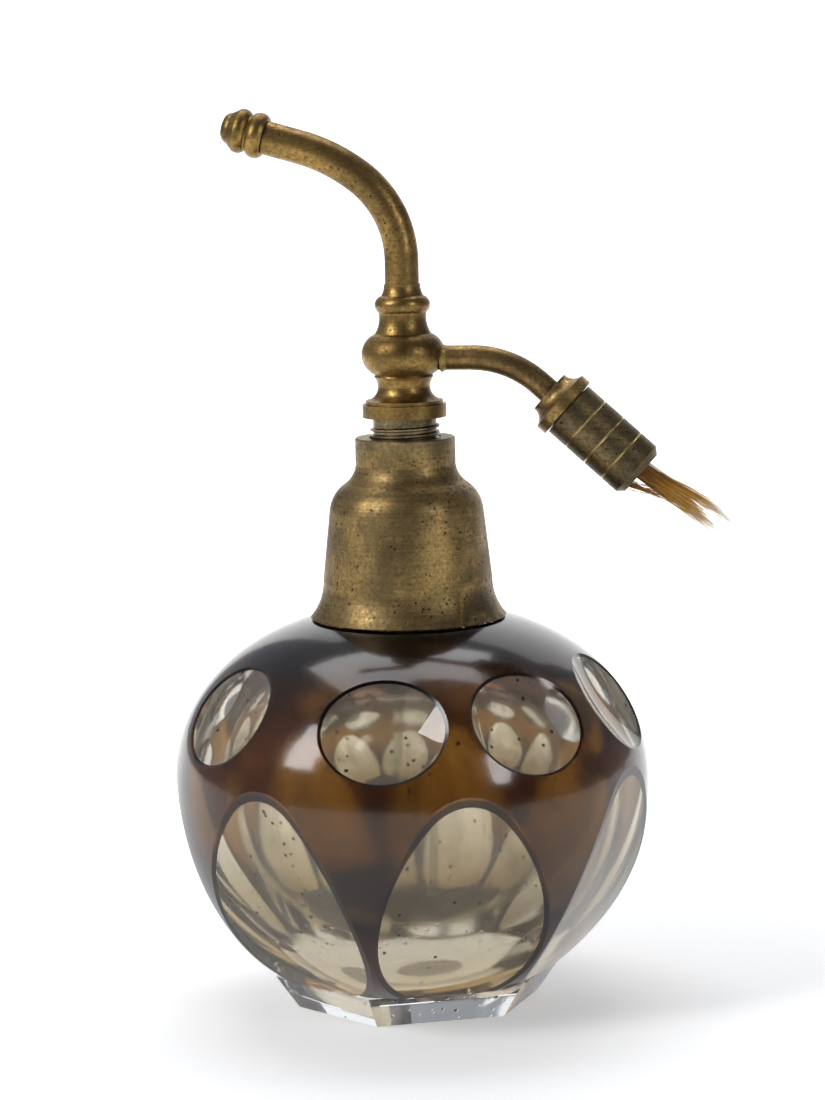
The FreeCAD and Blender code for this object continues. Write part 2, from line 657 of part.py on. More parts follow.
def sleeve_corners():
    edge = size("scribe_depth")
    half = size("scribe_width") * 0.5
    corners = [(size("sleeve_bore"), size("sleeve_start")),
               (size("sleeve_radius") - edge, size("sleeve_start")),
               (size("sleeve_radius"), size("sleeve_start") + edge)]
    for distance in SCRIBED:
        middle = size("sleeve_start") + distance
        corners += [(size("sleeve_radius"), middle - half),
                    (size("sleeve_radius") - edge, middle),
                    (size("sleeve_radius"), middle + half)]
    return corners + [(size("sleeve_radius"), size("sleeve_bevel")),
                      (size("sleeve_mouth"), size("sleeve_end")),
                      (size("sleeve_lip"), size("sleeve_end")),
                      (size("sleeve_lip"), size("lip_inside")),
                      (size("sleeve_bore"), size("lip_inside"))]


on_ferrule("ferrule_sleeve", sleeve_corners())

ball = doc.addObject("Part::Sphere", "valve_ball")
ball.setExpression("Radius", "Sizes.valve_radius")
along_ferrule = Rotation(Vector(0, 1, 0), ferrule_tilt)
ball.Placement = Placement(ferrule_point + along_ferrule.multVec(Vector(0, 0, SIZES["valve_at"])), Rotation())
nodes["valve_ball"] = ball

# ---------------------------------------------------------------- check and write

doc.recompute()
failed = [o.Name for o in doc.Objects if "Invalid" in o.State or "Error" in o.State]
if failed:
    raise SystemExit("failed: %s" % failed)
os.makedirs("parts", exist_ok=True)
for name, node in nodes.items():
    node.Label = name
    shape = node.Shape
    if shape.isNull() or not shape.isValid() or not shape.Solids:
        raise SystemExit("%s has no valid solid" % name)
    shape.exportStep("parts/%s.step" % name)
    box = shape.BoundBox
    print("%-15s %d solid %9.2f mm3  x %.1f %.1f  z %.1f %.1f" % (
        name, len(shape.Solids), shape.Volume, box.XMin, box.XMax, box.ZMin, box.ZMax))
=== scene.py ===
import math
import random

import bpy
from mathutils import Matrix, Vector


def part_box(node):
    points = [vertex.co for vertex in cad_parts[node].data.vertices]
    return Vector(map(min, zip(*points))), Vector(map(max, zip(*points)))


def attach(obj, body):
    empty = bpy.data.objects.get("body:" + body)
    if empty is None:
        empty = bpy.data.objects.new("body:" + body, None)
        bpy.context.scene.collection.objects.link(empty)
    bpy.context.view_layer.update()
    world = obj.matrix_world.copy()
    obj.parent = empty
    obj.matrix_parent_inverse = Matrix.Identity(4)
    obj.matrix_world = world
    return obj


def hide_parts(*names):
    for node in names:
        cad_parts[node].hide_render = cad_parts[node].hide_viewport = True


# Looks for a cut, cased glass perfume atomiser with aged brass fittings. Metres, in the part's own frame.

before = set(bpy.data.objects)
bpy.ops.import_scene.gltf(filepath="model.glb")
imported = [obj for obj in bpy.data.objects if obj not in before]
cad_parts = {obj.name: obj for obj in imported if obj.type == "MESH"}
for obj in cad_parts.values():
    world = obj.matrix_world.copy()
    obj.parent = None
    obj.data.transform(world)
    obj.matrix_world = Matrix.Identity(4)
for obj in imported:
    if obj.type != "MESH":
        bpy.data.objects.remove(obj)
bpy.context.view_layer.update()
random.seed(7)
MM = 0.001

# The belly's outline is |r/a|^n + |z/b|^n = 1, on the fused surface under the casing and on the hollow wall.
# The glass materials use it to tell one face of the glass from another.
BELLY_POWER = 2.2
BELLY_HEIGHT = 35.0 * MM
INNER_RADIUS = 37.15 * MM
INNER_RISE = 27.7 * MM
INNER_DROP = 35.2 * MM
HOLLOW_RADIUS = 30.5 * MM
HOLLOW_RISE = 23.0 * MM
HOLLOW_DROP = 24.5 * MM

# The sum is 1 on the fused surface and about 1.018 on the casing's outer face. Under the first limit a casing
# face is the fused one or lies by it, and between the two it is a cut edge. The slacks allow for flat facets.
SUM_OFF_FUSED = 1.0035
SUM_UNDER_OUTER = 1.0130
SUM_SLACK_FUSED = 0.014
SUM_SLACK_HOLLOW = 0.03
ALONG_ENOUGH = 0.988
GLASS_HEIGHT = 60.0 * MM

# the nozzle points up to the left, and the ferrule down to the right
NOZZLE_RISE = math.radians(16.0)
FERRULE_DIP = math.radians(41.9)
FERRULE_AXIS = Vector((math.cos(FERRULE_DIP), 0, -math.sin(FERRULE_DIP)))
FERRULE_START = Vector((22.85 * MM, 0, 96.67 * MM)).dot(FERRULE_AXIS)
SLEEVE_START = 3.98
SCRIBED = (3.55, 7.3, 10.9)
SCRIBED_HALF_WIDTH = 0.13 * MM


def link(thing):
    bpy.context.scene.collection.objects.link(thing)


def smooth(mesh):
    for face in mesh.polygons:
        face.use_smooth = True


# ---------------------------------------------------------------- camera


def look():
    """The camera stands in front, ten degrees round to the right, tipped down and rolled a little."""
    distance, height = 514 * MM, 144 * MM
    azimuth, pitch, yaw, roll = (math.radians(a) for a in (10.0, -8.0, -0.09, -1.15))
    data = bpy.data.cameras.new("camera")
    data.lens = 108.0
    data.sensor_width = 36.0
    data.clip_start, data.clip_end = 0.01, 20.0
    turn = azimuth + yaw
    forward = Vector((-math.sin(turn) * math.cos(pitch), math.cos(turn) * math.cos(pitch), math.sin(pitch)))
    right = forward.cross(Vector((0, 0, 1))).normalized()
    up = right.cross(forward)
    right, up = (right * math.cos(roll) + up * math.sin(roll), up * math.cos(roll) - right * math.sin(roll))
    camera = bpy.data.objects.new("camera", data)
    link(camera)
    place = Vector((distance * math.sin(azimuth), -distance * math.cos(azimuth), height))
    camera.matrix_world = Matrix.Translation(place) @ Matrix((right, up, -forward)).transposed().to_4x4()
    bpy.context.scene.camera = camera


look()

# ---------------------------------------------------------------- node trees


class Tree:
    """Short calls for building a material's nodes."""

    def __init__(self, name):
        self.material = bpy.data.materials.new(name)
        self.material.use_nodes = True
        self.nodes = self.material.node_tree.nodes
        self.links = self.material.node_tree.links
        self.shader = self.nodes["Principled BSDF"]
        self.output = self.nodes["Material Output"]
        self.place = self.add("ShaderNodeTexCoord").outputs["Object"]

    def add(self, kind, **values):
        node = self.nodes.new(kind)
        for key, value in values.items():
            setattr(node, key, value)
        return node

    def put(self, socket, value):
        if isinstance(value, bpy.types.NodeSocket):
            self.links.new(value, socket)
        else:
            socket.default_value = value

    def set(self, **values):
        for key, value in values.items():
            self.put(self.shader.inputs[key.replace("_", " ")], value)

    def math(self, operation, *values):
        node = self.add("ShaderNodeMath", operation=operation)
        for socket, value in zip(node.inputs, values):
            self.put(socket, value)
        return node.outputs[0]

    def noise(self, scale, detail=4.0, roughness=0.6, stretch=(1, 1, 1), turn=(0, 0, 0), distortion=0.0):
        mapping = self.add("ShaderNodeMapping")
        mapping.inputs["Rotation"].default_value = turn
        mapping.inputs["Scale"].default_value = stretch
        self.links.new(self.place, mapping.inputs["Vector"])
        node = self.add("ShaderNodeTexNoise")
        self.links.new(mapping.outputs[0], node.inputs["Vector"])
        node.inputs["Scale"].default_value = scale
        node.inputs["Detail"].default_value = detail
        node.inputs["Roughness"].default_value = roughness
        node.inputs["Distortion"].default_value = distortion
        return node.outputs["Fac"]

    def cells(self, scale):
        """How far each place is from the middle of its own random cell."""
        node = self.add("ShaderNodeTexVoronoi")
        self.links.new(self.place, node.inputs["Vector"])
        node.inputs["Scale"].default_value = scale
        return node.outputs["Distance"]

    def along(self, axis):
        """Distance from the origin along an axis."""
        dot = self.add("ShaderNodeVectorMath", operation="DOT_PRODUCT")
        self.links.new(self.place, dot.inputs[0])
        dot.inputs[1].default_value = axis
        return dot.outputs["Value"]

    def pits(self, scale, patch, strength):
        """Small round pits in drifts: 1 in a pit, 0 outside."""
        spots = self.cells(scale)
        drift = self.ramp(self.noise(patch, detail=3), (0.40, 0.12), (0.60, 1.0))
        size = self.ramp(self.noise(scale * 0.7, detail=1), (0.38, 0.0), (0.62, 1.0))
        pit = self.math("MULTIPLY", self.ramp(spots, (0.16, 1.0), (0.34, 0.0)), drift)
        return self.math("MULTIPLY", self.math("MULTIPLY", pit, size), strength)

    def scratches(self, width):
        """A few long fine lines that wander across the surface."""
        lines = self.noise(42, detail=1, stretch=(1.0, 1.0, 0.35), turn=(0.5, 0.7, 0.2), distortion=1.2)
        off_line = self.math("ABSOLUTE", self.math("SUBTRACT", lines, 0.5))
        thin = self.ramp(self.math("MULTIPLY", off_line, 1000.0 / width), (0.0, 1.0), (0.5, 0.0))
        return self.math("MULTIPLY", thin, self.ramp(self.noise(90, detail=2), (0.55, 0.0), (0.65, 1.0)))

    def ramp(self, factor, *stops):
        """Stops are (place, value), where a value is a grey or a colour."""
        node = self.add("ShaderNodeValToRGB")
        ramp = node.color_ramp
        while len(ramp.elements) < len(stops):
            ramp.elements.new(0.5)
        for element, (at, colour) in zip(ramp.elements, stops):
            element.position = at
            if isinstance(colour, (int, float)):
                colour = (colour, colour, colour)
            element.color = (*colour, 1)
        self.links.new(factor, node.inputs[0])
        return node.outputs["Color"]

    def mix(self, factor, one, two):
        node = self.add("ShaderNodeMix", data_type="RGBA")
        for socket, value in ((node.inputs[0], factor), (node.inputs[6], one), (node.inputs[7], two)):
            if isinstance(value, tuple):
                value = (*value, 1)
            self.put(socket, value)
        return node.outputs[2]

    def bump(self, height, distance, strength):
        node = self.add("ShaderNodeBump")
        node.inputs["Distance"].default_value = distance
        node.inputs["Strength"].default_value = strength
        self.links.new(height, node.inputs["Height"])
        return node.outputs["Normal"]


PIT_COLOUR = (0.012, 0.008, 0.005)
BARE_BRASS = (0.62, 0.47, 0.20)


def near(t, value, target, slack):
    """1 where value is within slack of target, and 0 elsewhere."""
    return t.math("LESS_THAN", t.math("ABSOLUTE", t.math("SUBTRACT", value, target)), slack)


def brass(name, dark, middle, gold, rough, turn=(0, 0, 0), wear=0.5, pits=0.5, lines=0.5, scribed=()):
    """Aged brass: a cloudy patina, lathe lines round the axis, fine dark pits and rubbed golden patches.

    scribed holds the ferrule axis's distances from the origin at which a bright line is cut.
    """
    t = Tree(name)
    clouds = t.noise(70, detail=7, roughness=0.68, distortion=0.3)
    grain = t.noise(1900, detail=4, roughness=0.75)
    lathe = t.noise(500, detail=4, stretch=(0.10, 0.10, 7.0), turn=turn)
    rubs = t.noise(150, detail=5, roughness=0.72, distortion=0.7)
    colour = t.ramp(clouds, (0.34, dark), (0.50, middle), (0.68, gold))
    colour = t.mix(t.ramp(rubs, (0.56, 0.0), (0.70, wear)), colour, gold)
    colour = t.mix(t.ramp(grain, (0.32, 0.75), (0.58, 0.0)), colour, dark)
    colour = t.mix(t.ramp(lathe, (0.30, 0.45), (0.52, 0.0)), colour, dark)
    pit = t.pits(1150, 150, pits)
    colour = t.mix(pit, colour, PIT_COLOUR)
    roughness = t.ramp(clouds, (0.3, rough + 0.10), (0.7, rough - 0.06))
    roughness = t.mix(t.ramp(grain, (0.40, 0.35), (0.6, 0.0)), roughness, (0.62, 0.62, 0.62))
    roughness = t.mix(pit, roughness, (0.85, 0.85, 0.85))
    scratch = t.scratches(7.0)
    colour = t.mix(t.math("MULTIPLY", scratch, 0.35), colour, gold)
    if scribed:
        along = t.along(FERRULE_AXIS)
        worn = t.ramp(t.noise(300, detail=3), (0.36, 0.15), (0.60, 1.0))
        for distance in scribed:
            line = t.math("MULTIPLY", near(t, along, distance, SCRIBED_HALF_WIDTH), worn)
            colour = t.mix(line, colour, BARE_BRASS)
            roughness = t.mix(line, roughness, (0.30, 0.30, 0.30))
    height = t.math("ADD", t.math("MULTIPLY", lathe, lines), t.math("MULTIPLY", grain, 0.45))
    height = t.math("SUBTRACT", height, t.math("MULTIPLY", pit, 1.3))
    height = t.math("SUBTRACT", height, t.math("MULTIPLY", scratch, 0.3))
    t.set(Base_Color=colour, Metallic=1.0, Roughness=roughness, Normal=t.bump(height, 0.00006, 0.6))
    return t.material


def plain(name, one, two, scale, rough, metallic=0.0, relief=0.00005):
    """A matt or dull surface with a mottled colour and a fine grain."""
    t = Tree(name)
    cloud = t.noise(scale, detail=6, roughness=0.7)
    t.set(Base_Color=t.ramp(cloud, (0.3, one), (0.7, two)), Metallic=metallic,
          Roughness=t.ramp(t.noise(scale * 3), (0.3, rough - 0.1), (0.7, rough + 0.1)),
          Normal=t.bump(t.noise(scale * 6), relief, 0.6))
    return t.material


def split_place(t):
    split = t.add("ShaderNodeSeparateXYZ")
    t.links.new(t.place, split.inputs[0])
    return split.outputs


def belly_place(t, rise, drop):
    """A place in the belly: across, along, off the axis, above the middle, and how far the belly reaches."""
    across, along, up = split_place(t)
    wide = t.math("SQRT", t.math("ADD", t.math("MULTIPLY", across, across), t.math("MULTIPLY", along, along)))
    lift = t.math("SUBTRACT", up, BELLY_HEIGHT)
    above = t.math("GREATER_THAN", lift, 0.0)
    reach = t.math("ADD", t.math("MULTIPLY", above, rise - drop), drop)
    return across, along, wide, lift, reach


def share_to_power(t, value, whole, power):
    return t.math("POWER", t.math("DIVIDE", value, whole), power)


def belly_sum(t, radius, rise, drop):
    """The belly equation's sum for one surface: 1 on it, less inside."""
    _, _, wide, lift, reach = belly_place(t, rise, drop)
    return t.math("ADD", share_to_power(t, wide, radius, BELLY_POWER),
                  share_to_power(t, t.math("ABSOLUTE", lift), reach, BELLY_POWER))


def along_belly(t):
    """1 where a face lies along the fused surface, its normal the belly's own, and 0 where it cuts across."""
    across, along, wide, lift, reach = belly_place(t, INNER_RISE, INNER_DROP)
    outward = t.math("DIVIDE", share_to_power(t, wide, INNER_RADIUS, BELLY_POWER - 1), INNER_RADIUS)
    upward = t.math("DIVIDE", share_to_power(t, t.math("ABSOLUTE", lift), reach, BELLY_POWER - 1), reach)
    join = t.add("ShaderNodeCombineXYZ")
    t.put(join.inputs[0], t.math("MULTIPLY", outward, t.math("DIVIDE", across, wide)))
    t.put(join.inputs[1], t.math("MULTIPLY", outward, t.math("DIVIDE", along, wide)))
    t.put(join.inputs[2], t.math("MULTIPLY", upward, t.math("SIGN", lift)))
    unit = t.add("ShaderNodeVectorMath", operation="NORMALIZE")
    t.links.new(join.outputs[0], unit.inputs[0])
    local = t.add("ShaderNodeVectorTransform", vector_type="NORMAL", convert_from="WORLD",
                  convert_to="OBJECT")
    t.links.new(t.add("ShaderNodeNewGeometry").outputs["True Normal"], local.inputs[0])
    dot = t.add("ShaderNodeVectorMath", operation="DOT_PRODUCT")
    t.links.new(unit.outputs[0], dot.inputs[0])
    t.links.new(local.outputs[0], dot.inputs[1])
    return t.math("GREATER_THAN", t.math("ABSOLUTE", dot.outputs["Value"]), ALONG_ENOUGH)


def let_through(t, mask):
    """Where mask is 1 light goes straight on, as it does where clear and amber glass are fused together."""
    clear = t.add("ShaderNodeBsdfTransparent")
    mixer = t.add("ShaderNodeMixShader")
    t.links.new(mask, mixer.inputs[0])
    t.links.new(t.shader.outputs[0], mixer.inputs[1])
    t.links.new(clear.outputs[0], mixer.inputs[2])
    t.links.new(mixer.outputs[0], t.output.inputs["Surface"])


def clear_glass():
    """Cut clear glass, with seeds near its faces and a dried, streaky film of old perfume in the hollow."""
    t = Tree("cut_clear_glass")
    up = split_place(t)[2]
    waves = t.noise(60, detail=2, distortion=0.4)
    seed_drifts = t.ramp(t.noise(150, detail=2), (0.46, 0.0), (0.54, 1.0))
    seed = t.math("MULTIPLY", t.ramp(t.cells(520), (0.12, 1.0), (0.19, 0.0)), seed_drifts)
    # the outer faces: straw coloured low down, with a brown line where the arches meet the foot
    wander = t.math("MULTIPLY", t.noise(160, detail=4), 2.4 * MM)
    level = t.math("DIVIDE", t.math("ADD", up, wander), GLASS_HEIGHT)
    foot, line, over_line = (0.93, 0.95, 0.97), (0.16, 0.075, 0.020), (0.30, 0.17, 0.05)
    low_straw, straw, pale_straw = (0.32, 0.22, 0.09), (0.46, 0.39, 0.26), (0.72, 0.68, 0.59)
    tint = t.ramp(level, (0.100, foot), (0.112, line), (0.128, over_line),
                  (0.150, low_straw), (0.40, straw), (0.66, pale_straw))
    # the hollow's wall: a film that is thicker low down and has run in streaks
    inside = near(t, belly_sum(t, HOLLOW_RADIUS, HOLLOW_RISE, HOLLOW_DROP), 1.0, SUM_SLACK_HOLLOW)
    ragged = t.math("MULTIPLY", t.noise(70, detail=4), 0.25)
    low = t.ramp(t.math("ADD", t.math("DIVIDE", up, 40 * MM), ragged), (0.42, 1.0), (0.80, 0.0))
    runs = t.noise(110, detail=4, stretch=(1.0, 1.0, 0.14), distortion=0.5)
    runs = t.ramp(runs, (0.42, 0.0), (0.66, 1.0))
    film = t.mix(low, (0.84, 0.79, 0.66), (0.56, 0.43, 0.21))
    film = t.mix(t.math("MULTIPLY", runs, 0.7), film, (0.30, 0.24, 0.13))
    tint = t.mix(inside, tint, film)
    tint = t.mix(seed, tint, (0.004, 0.002, 0.0005))
    rough = t.mix(inside, (0.03, 0.03, 0.03), t.ramp(runs, (0.0, 0.08), (1.0, 0.20)))
    relief = t.math("SUBTRACT", waves, t.math("MULTIPLY", seed, 0.25))
    t.set(Base_Color=tint, Roughness=rough, IOR=1.50, Transmission_Weight=0.91,
          Normal=t.bump(relief, 0.0004, 0.18))
    under_casing = near(t, belly_sum(t, INNER_RADIUS, INNER_RISE, INNER_DROP), 1.0, SUM_SLACK_FUSED)
    let_through(t, t.math("MULTIPLY", under_casing, along_belly(t)))
    return t.material


def amber_glass():
    """Amber casing: nearly black brown low down and, as a painted shade, where it is seen edge on, with a
    warm glow across the middle.
    """
    t = Tree("amber_casing_glass")
    level = t.math("DIVIDE", split_place(t)[2], GLASS_HEIGHT)
    cloud = t.noise(38, detail=4, distortion=0.8)
    streak = t.noise(120, detail=3, stretch=(1, 1, 0.35))
    umber, glow, brown = (0.020, 0.0036, 0.00006), (0.068, 0.0160, 0.0003), (0.032, 0.0066, 0.0001)
    colour = t.ramp(cloud, (0.3, umber), (0.55, glow), (0.75, brown))
    colour = t.mix(t.ramp(streak, (0.45, 0.0), (0.8, 0.5)), colour, (0.012, 0.0022, 0.00005))
    low = t.ramp(t.math("ADD", level, t.math("MULTIPLY", cloud, 0.06)), (0.36, 1.0), (0.56, 0.0))
    colour = t.mix(low, colour, (0.0006, 0.00006, 0.00001))
    high = t.ramp(level, (0.76, 0.0), (0.94, 1.0))
    colour = t.mix(high, colour, (0.0060, 0.0014, 0.0005))
    # painted shade: the colour darkens to nearly black brown where the surface turns edge on
    facing = t.add("ShaderNodeLayerWeight")
    facing.inputs["Blend"].default_value = 0.35
    painted_edge_shade = t.ramp(facing.outputs["Facing"], (0.20, 0.0), (0.72, 1.0))
    colour = t.mix(painted_edge_shade, colour, (0.0014, 0.00018, 0.00004))
    # the cut edge round each window and arch is a dark line
    depth = belly_sum(t, INNER_RADIUS, INNER_RISE, INNER_DROP)
    rim = t.math("MULTIPLY", t.math("LESS_THAN", depth, SUM_UNDER_OUTER), 0.9)
    colour = t.mix(rim, colour, (0.0012, 0.0002, 0.00004))
    t.set(Base_Color=colour, Roughness=0.15, IOR=1.45, Transmission_Weight=1.0, Specular_IOR_Level=0.0,
          Coat_Weight=0.19, Coat_Roughness=0.02, Normal=t.bump(cloud, 0.0005, 0.1))
    let_through(t, t.math("MULTIPLY", t.math("LESS_THAN", depth, SUM_OFF_FUSED), along_belly(t)))
    return t.material


def tube_glass():
    """Thin clear tube, whose low IOR stands for a wall too thin to bend light much."""
    t = Tree("dip_tube_glass")
    tint = t.ramp(t.noise(300), (0.3, (0.85, 0.88, 0.80)), (0.7, (0.95, 0.96, 0.92)))
    t.set(Base_Color=tint, Roughness=0.05, IOR=1.12, Transmission_Weight=1.0)
    return t.material


def silk(axis, root, tip):
    """Golden silk, orange-brown where it leaves the ferrule and nearly white at its tips."""
    t = Tree("torn_silk")
    along = t.math("DIVIDE", t.math("SUBTRACT", t.along(axis), root), tip - root)
    along = t.math("ADD", along, t.math("MULTIPLY", t.math("SUBTRACT", t.noise(500), 0.5), 0.35))
    colour = t.ramp(along, (0.0, (0.24, 0.100, 0.010)), (0.35, (0.48, 0.235, 0.028)),
                    (0.66, (0.62, 0.37, 0.085)), (0.92, (0.84, 0.77, 0.62)))
    t.set(Base_Color=colour, Roughness=0.45, Specular_IOR_Level=0.6)
    return t.material


def dress(material, *names):
    for name in names:
        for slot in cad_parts[name].material_slots:
            slot.material = material
        smooth(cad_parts[name].data)


# lathe lines run round the part's axis, which is upright unless one of these turns it
ROUND_NOZZLE = (0, math.radians(90) - NOZZLE_RISE, 0)
ROUND_FERRULE = (0, math.radians(90) + FERRULE_DIP, 0)
BELL_TONES = (0.090, 0.066, 0.032), (0.265, 0.182, 0.078), (0.58, 0.38, 0.135)
RING_TONES = (0.09, 0.068, 0.036), (0.24, 0.177, 0.085), (0.46, 0.329, 0.142)
HEAD_TONES = (0.11, 0.068, 0.023), (0.33, 0.207, 0.068), (0.68, 0.423, 0.123)
SPOUT_TONES = (0.085, 0.055, 0.020), (0.27, 0.169, 0.061), (0.62, 0.385, 0.114)
NOZZLE_TONES = (0.10, 0.062, 0.021), (0.31, 0.193, 0.063), (0.62, 0.385, 0.114)
AIR_TUBE_TONES = (0.08, 0.054, 0.024), (0.25, 0.162, 0.065), (0.56, 0.357, 0.123)
FERRULE_CAP_TONES = (0.09, 0.061, 0.025), (0.29, 0.193, 0.074), (0.62, 0.404, 0.142)
SLEEVE_TONES = (0.050, 0.039, 0.024), (0.135, 0.102, 0.053), (0.30, 0.211, 0.100)
SPIGOT_TONES = (0.06, 0.042, 0.019), (0.36, 0.282, 0.162), (0.72, 0.583, 0.361)

dress(clear_glass(), "bottle")
dress(amber_glass(), "amber_casing")
dress(tube_glass(), "dip_tube")
dress(brass("bell_brass", *BELL_TONES, 0.40, pits=1.0, lines=0.3), "bell_collar")
dress(brass("ring_brass", *RING_TONES, 0.38, wear=0.2), "neck_ring")
dress(brass("head_brass", *HEAD_TONES, 0.31, pits=0.3), "head_body")
dress(brass("spout_brass", *SPOUT_TONES, 0.35, pits=0.9), "spout_tube", "air_stub")
dress(brass("nozzle_brass", *NOZZLE_TONES, 0.35, turn=ROUND_NOZZLE),
      "nozzle_cap", "spout_tip", "nozzle_jet", "liquid_tube")
dress(brass("air_tube_brass", *AIR_TUBE_TONES, 0.38), "air_tube")
dress(brass("ferrule_cap_brass", *FERRULE_CAP_TONES, 0.35, turn=ROUND_FERRULE),
      "ferrule_cap", "hose_nipple", "gland_ring")
dress(brass("ferrule_brass", *SLEEVE_TONES, 0.40, turn=ROUND_FERRULE, wear=0.25, pits=0.7,
            scribed=[FERRULE_START + (SLEEVE_START + line) * MM for line in SCRIBED]), "ferrule_sleeve")
dress(brass("spigot_metal", *SPIGOT_TONES, 0.26, wear=0.7, pits=0.3), "screw_spigot")
dress(plain("golden_solder", (0.10, 0.06, 0.02), (0.55, 0.38, 0.13), 1500, 0.42, metallic=0.9,
            relief=0.0002), "stub_solder")
dress(plain("plaster", (0.35, 0.30, 0.22), (0.70, 0.66, 0.56), 300, 0.85), "neck_plaster")
dress(plain("leather", (0.03, 0.02, 0.012), (0.08, 0.05, 0.03), 500, 0.7), "neck_seal", "valve_seat")
dress(plain("cork", (0.22, 0.12, 0.05), (0.45, 0.29, 0.15), 700, 0.8), "dip_bush")
dress(plain("old_rubber", (0.05, 0.025, 0.015), (0.12, 0.06, 0.035), 400, 0.65), "rubber_neck")
dress(plain("dull_steel", (0.3, 0.3, 0.3), (0.55, 0.55, 0.55), 400, 0.4, metallic=1.0), "valve_ball")

# ---------------------------------------------------------------- dirt and dried perfume


def piece_from(name, corners, faces, material):
    mesh = bpy.data.meshes.new(name)
    mesh.from_pydata(corners, [], faces)
    smooth(mesh)
    mesh.materials.append(material)
    piece = bpy.data.objects.new(name, mesh)
    link(piece)
    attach(piece, "root")


def bell_dirt():
    """A thin ragged bead of brown dirt where the bell's rim meets the glass."""
    low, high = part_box("bell_collar")
    in_from_edge, above_foot, flatter = 1.85 * MM, 0.55, 1.1
    rim, foot = (high.x - low.x) / 2 - in_from_edge, low.z
    turns, sides = 220, 8
    corners, faces = [], []
    thinnest, thickest, change, thick = 0.12, 0.36, 0.07, 0.2
    for i in range(turns):
        angle = 2 * math.pi * i / turns
        thick = min(thickest, max(thinnest, thick + random.uniform(-change, change)))
        lift = random.uniform(-0.04, 0.08)
        for j in range(sides):
            turn = 2 * math.pi * j / sides
            out = rim + thick * flatter * MM * math.cos(turn)
            up = foot + (above_foot + lift + thick * math.sin(turn)) * MM
            corners.append((out * math.cos(angle), out * math.sin(angle), up))
    for i in range(turns):
        for j in range(sides):
            a, b = i * sides, (i + 1) % turns * sides
            faces.append((a + j, b + j, b + (j + 1) % sides, a + (j + 1) % sides))
    dirt = plain("brown_dirt", (0.020, 0.010, 0.004), (0.16, 0.070, 0.020), 900, 0.8)
    piece_from("bell_rim_dirt", corners, faces, dirt)


def dried_perfume():
    """A shallow brown pool dried on the floor of the hollow, thicker in the middle."""
    floor_up = BELLY_HEIGHT - HOLLOW_DROP
    reach, depth, gap, top_gap = 16.0 * MM, 0.9, 0.04, 0.12
    rings, turns = 7, 40
    corners, faces = [], []

    def wall(across):
        """The hollow's height at a distance from its axis."""
        share = (across / HOLLOW_RADIUS) ** BELLY_POWER
        return BELLY_HEIGHT - HOLLOW_DROP * (1 - share) ** (1 / BELLY_POWER)

    # level 0 is the pool's underside, just clear of the glass, and level 1 its top
    for level in (0, 1):
        corners.append((0, 0, floor_up + (top_gap if level else gap) * MM + level * depth * MM))
        for i in range(1, rings + 1):
            for j in range(turns):
                angle = 2 * math.pi * j / turns
                ragged = 1 + 0.10 * math.sin(3 * angle + 0.6) + 0.05 * math.sin(7 * angle)
                across = reach * i / rings * (ragged if i > 2 else 1)
                rise = (0.06 + level * depth * (1 - (i / rings) ** 2)) * MM
                up = wall(across) + rise + 0.01 * MM * level
                corners.append((across * math.cos(angle), across * math.sin(angle), up))
    each = 1 + rings * turns
    for level in (0, 1):
        base = level * each
        for j in range(turns):
            one, two = base + 1 + j, base + 1 + (j + 1) % turns
            faces.append((base, one, two) if level else (base, two, one))
            for i in range(rings - 1):
                a, b, c, d = one + i * turns, one + (i + 1) * turns, two + (i + 1) * turns, two + i * turns
                faces.append((a, b, c, d) if level else (d, c, b, a))
    for j in range(turns):
        a, b = 1 + (rings - 1) * turns + j, 1 + (rings - 1) * turns + (j + 1) % turns
        faces.append((a, b, b + each, a + each))
    t = Tree("dried_perfume_film")
    brown = t.ramp(t.noise(220, detail=4), (0.3, (0.030, 0.016, 0.006)), (0.7, (0.16, 0.10, 0.045)))
    t.set(Base_Color=brown, Roughness=0.45, Transmission_Weight=0.25)
    piece_from("dried_perfume", corners, faces, t.material)


bell_dirt()
dried_perfume()

# ---------------------------------------------------------------- torn silk


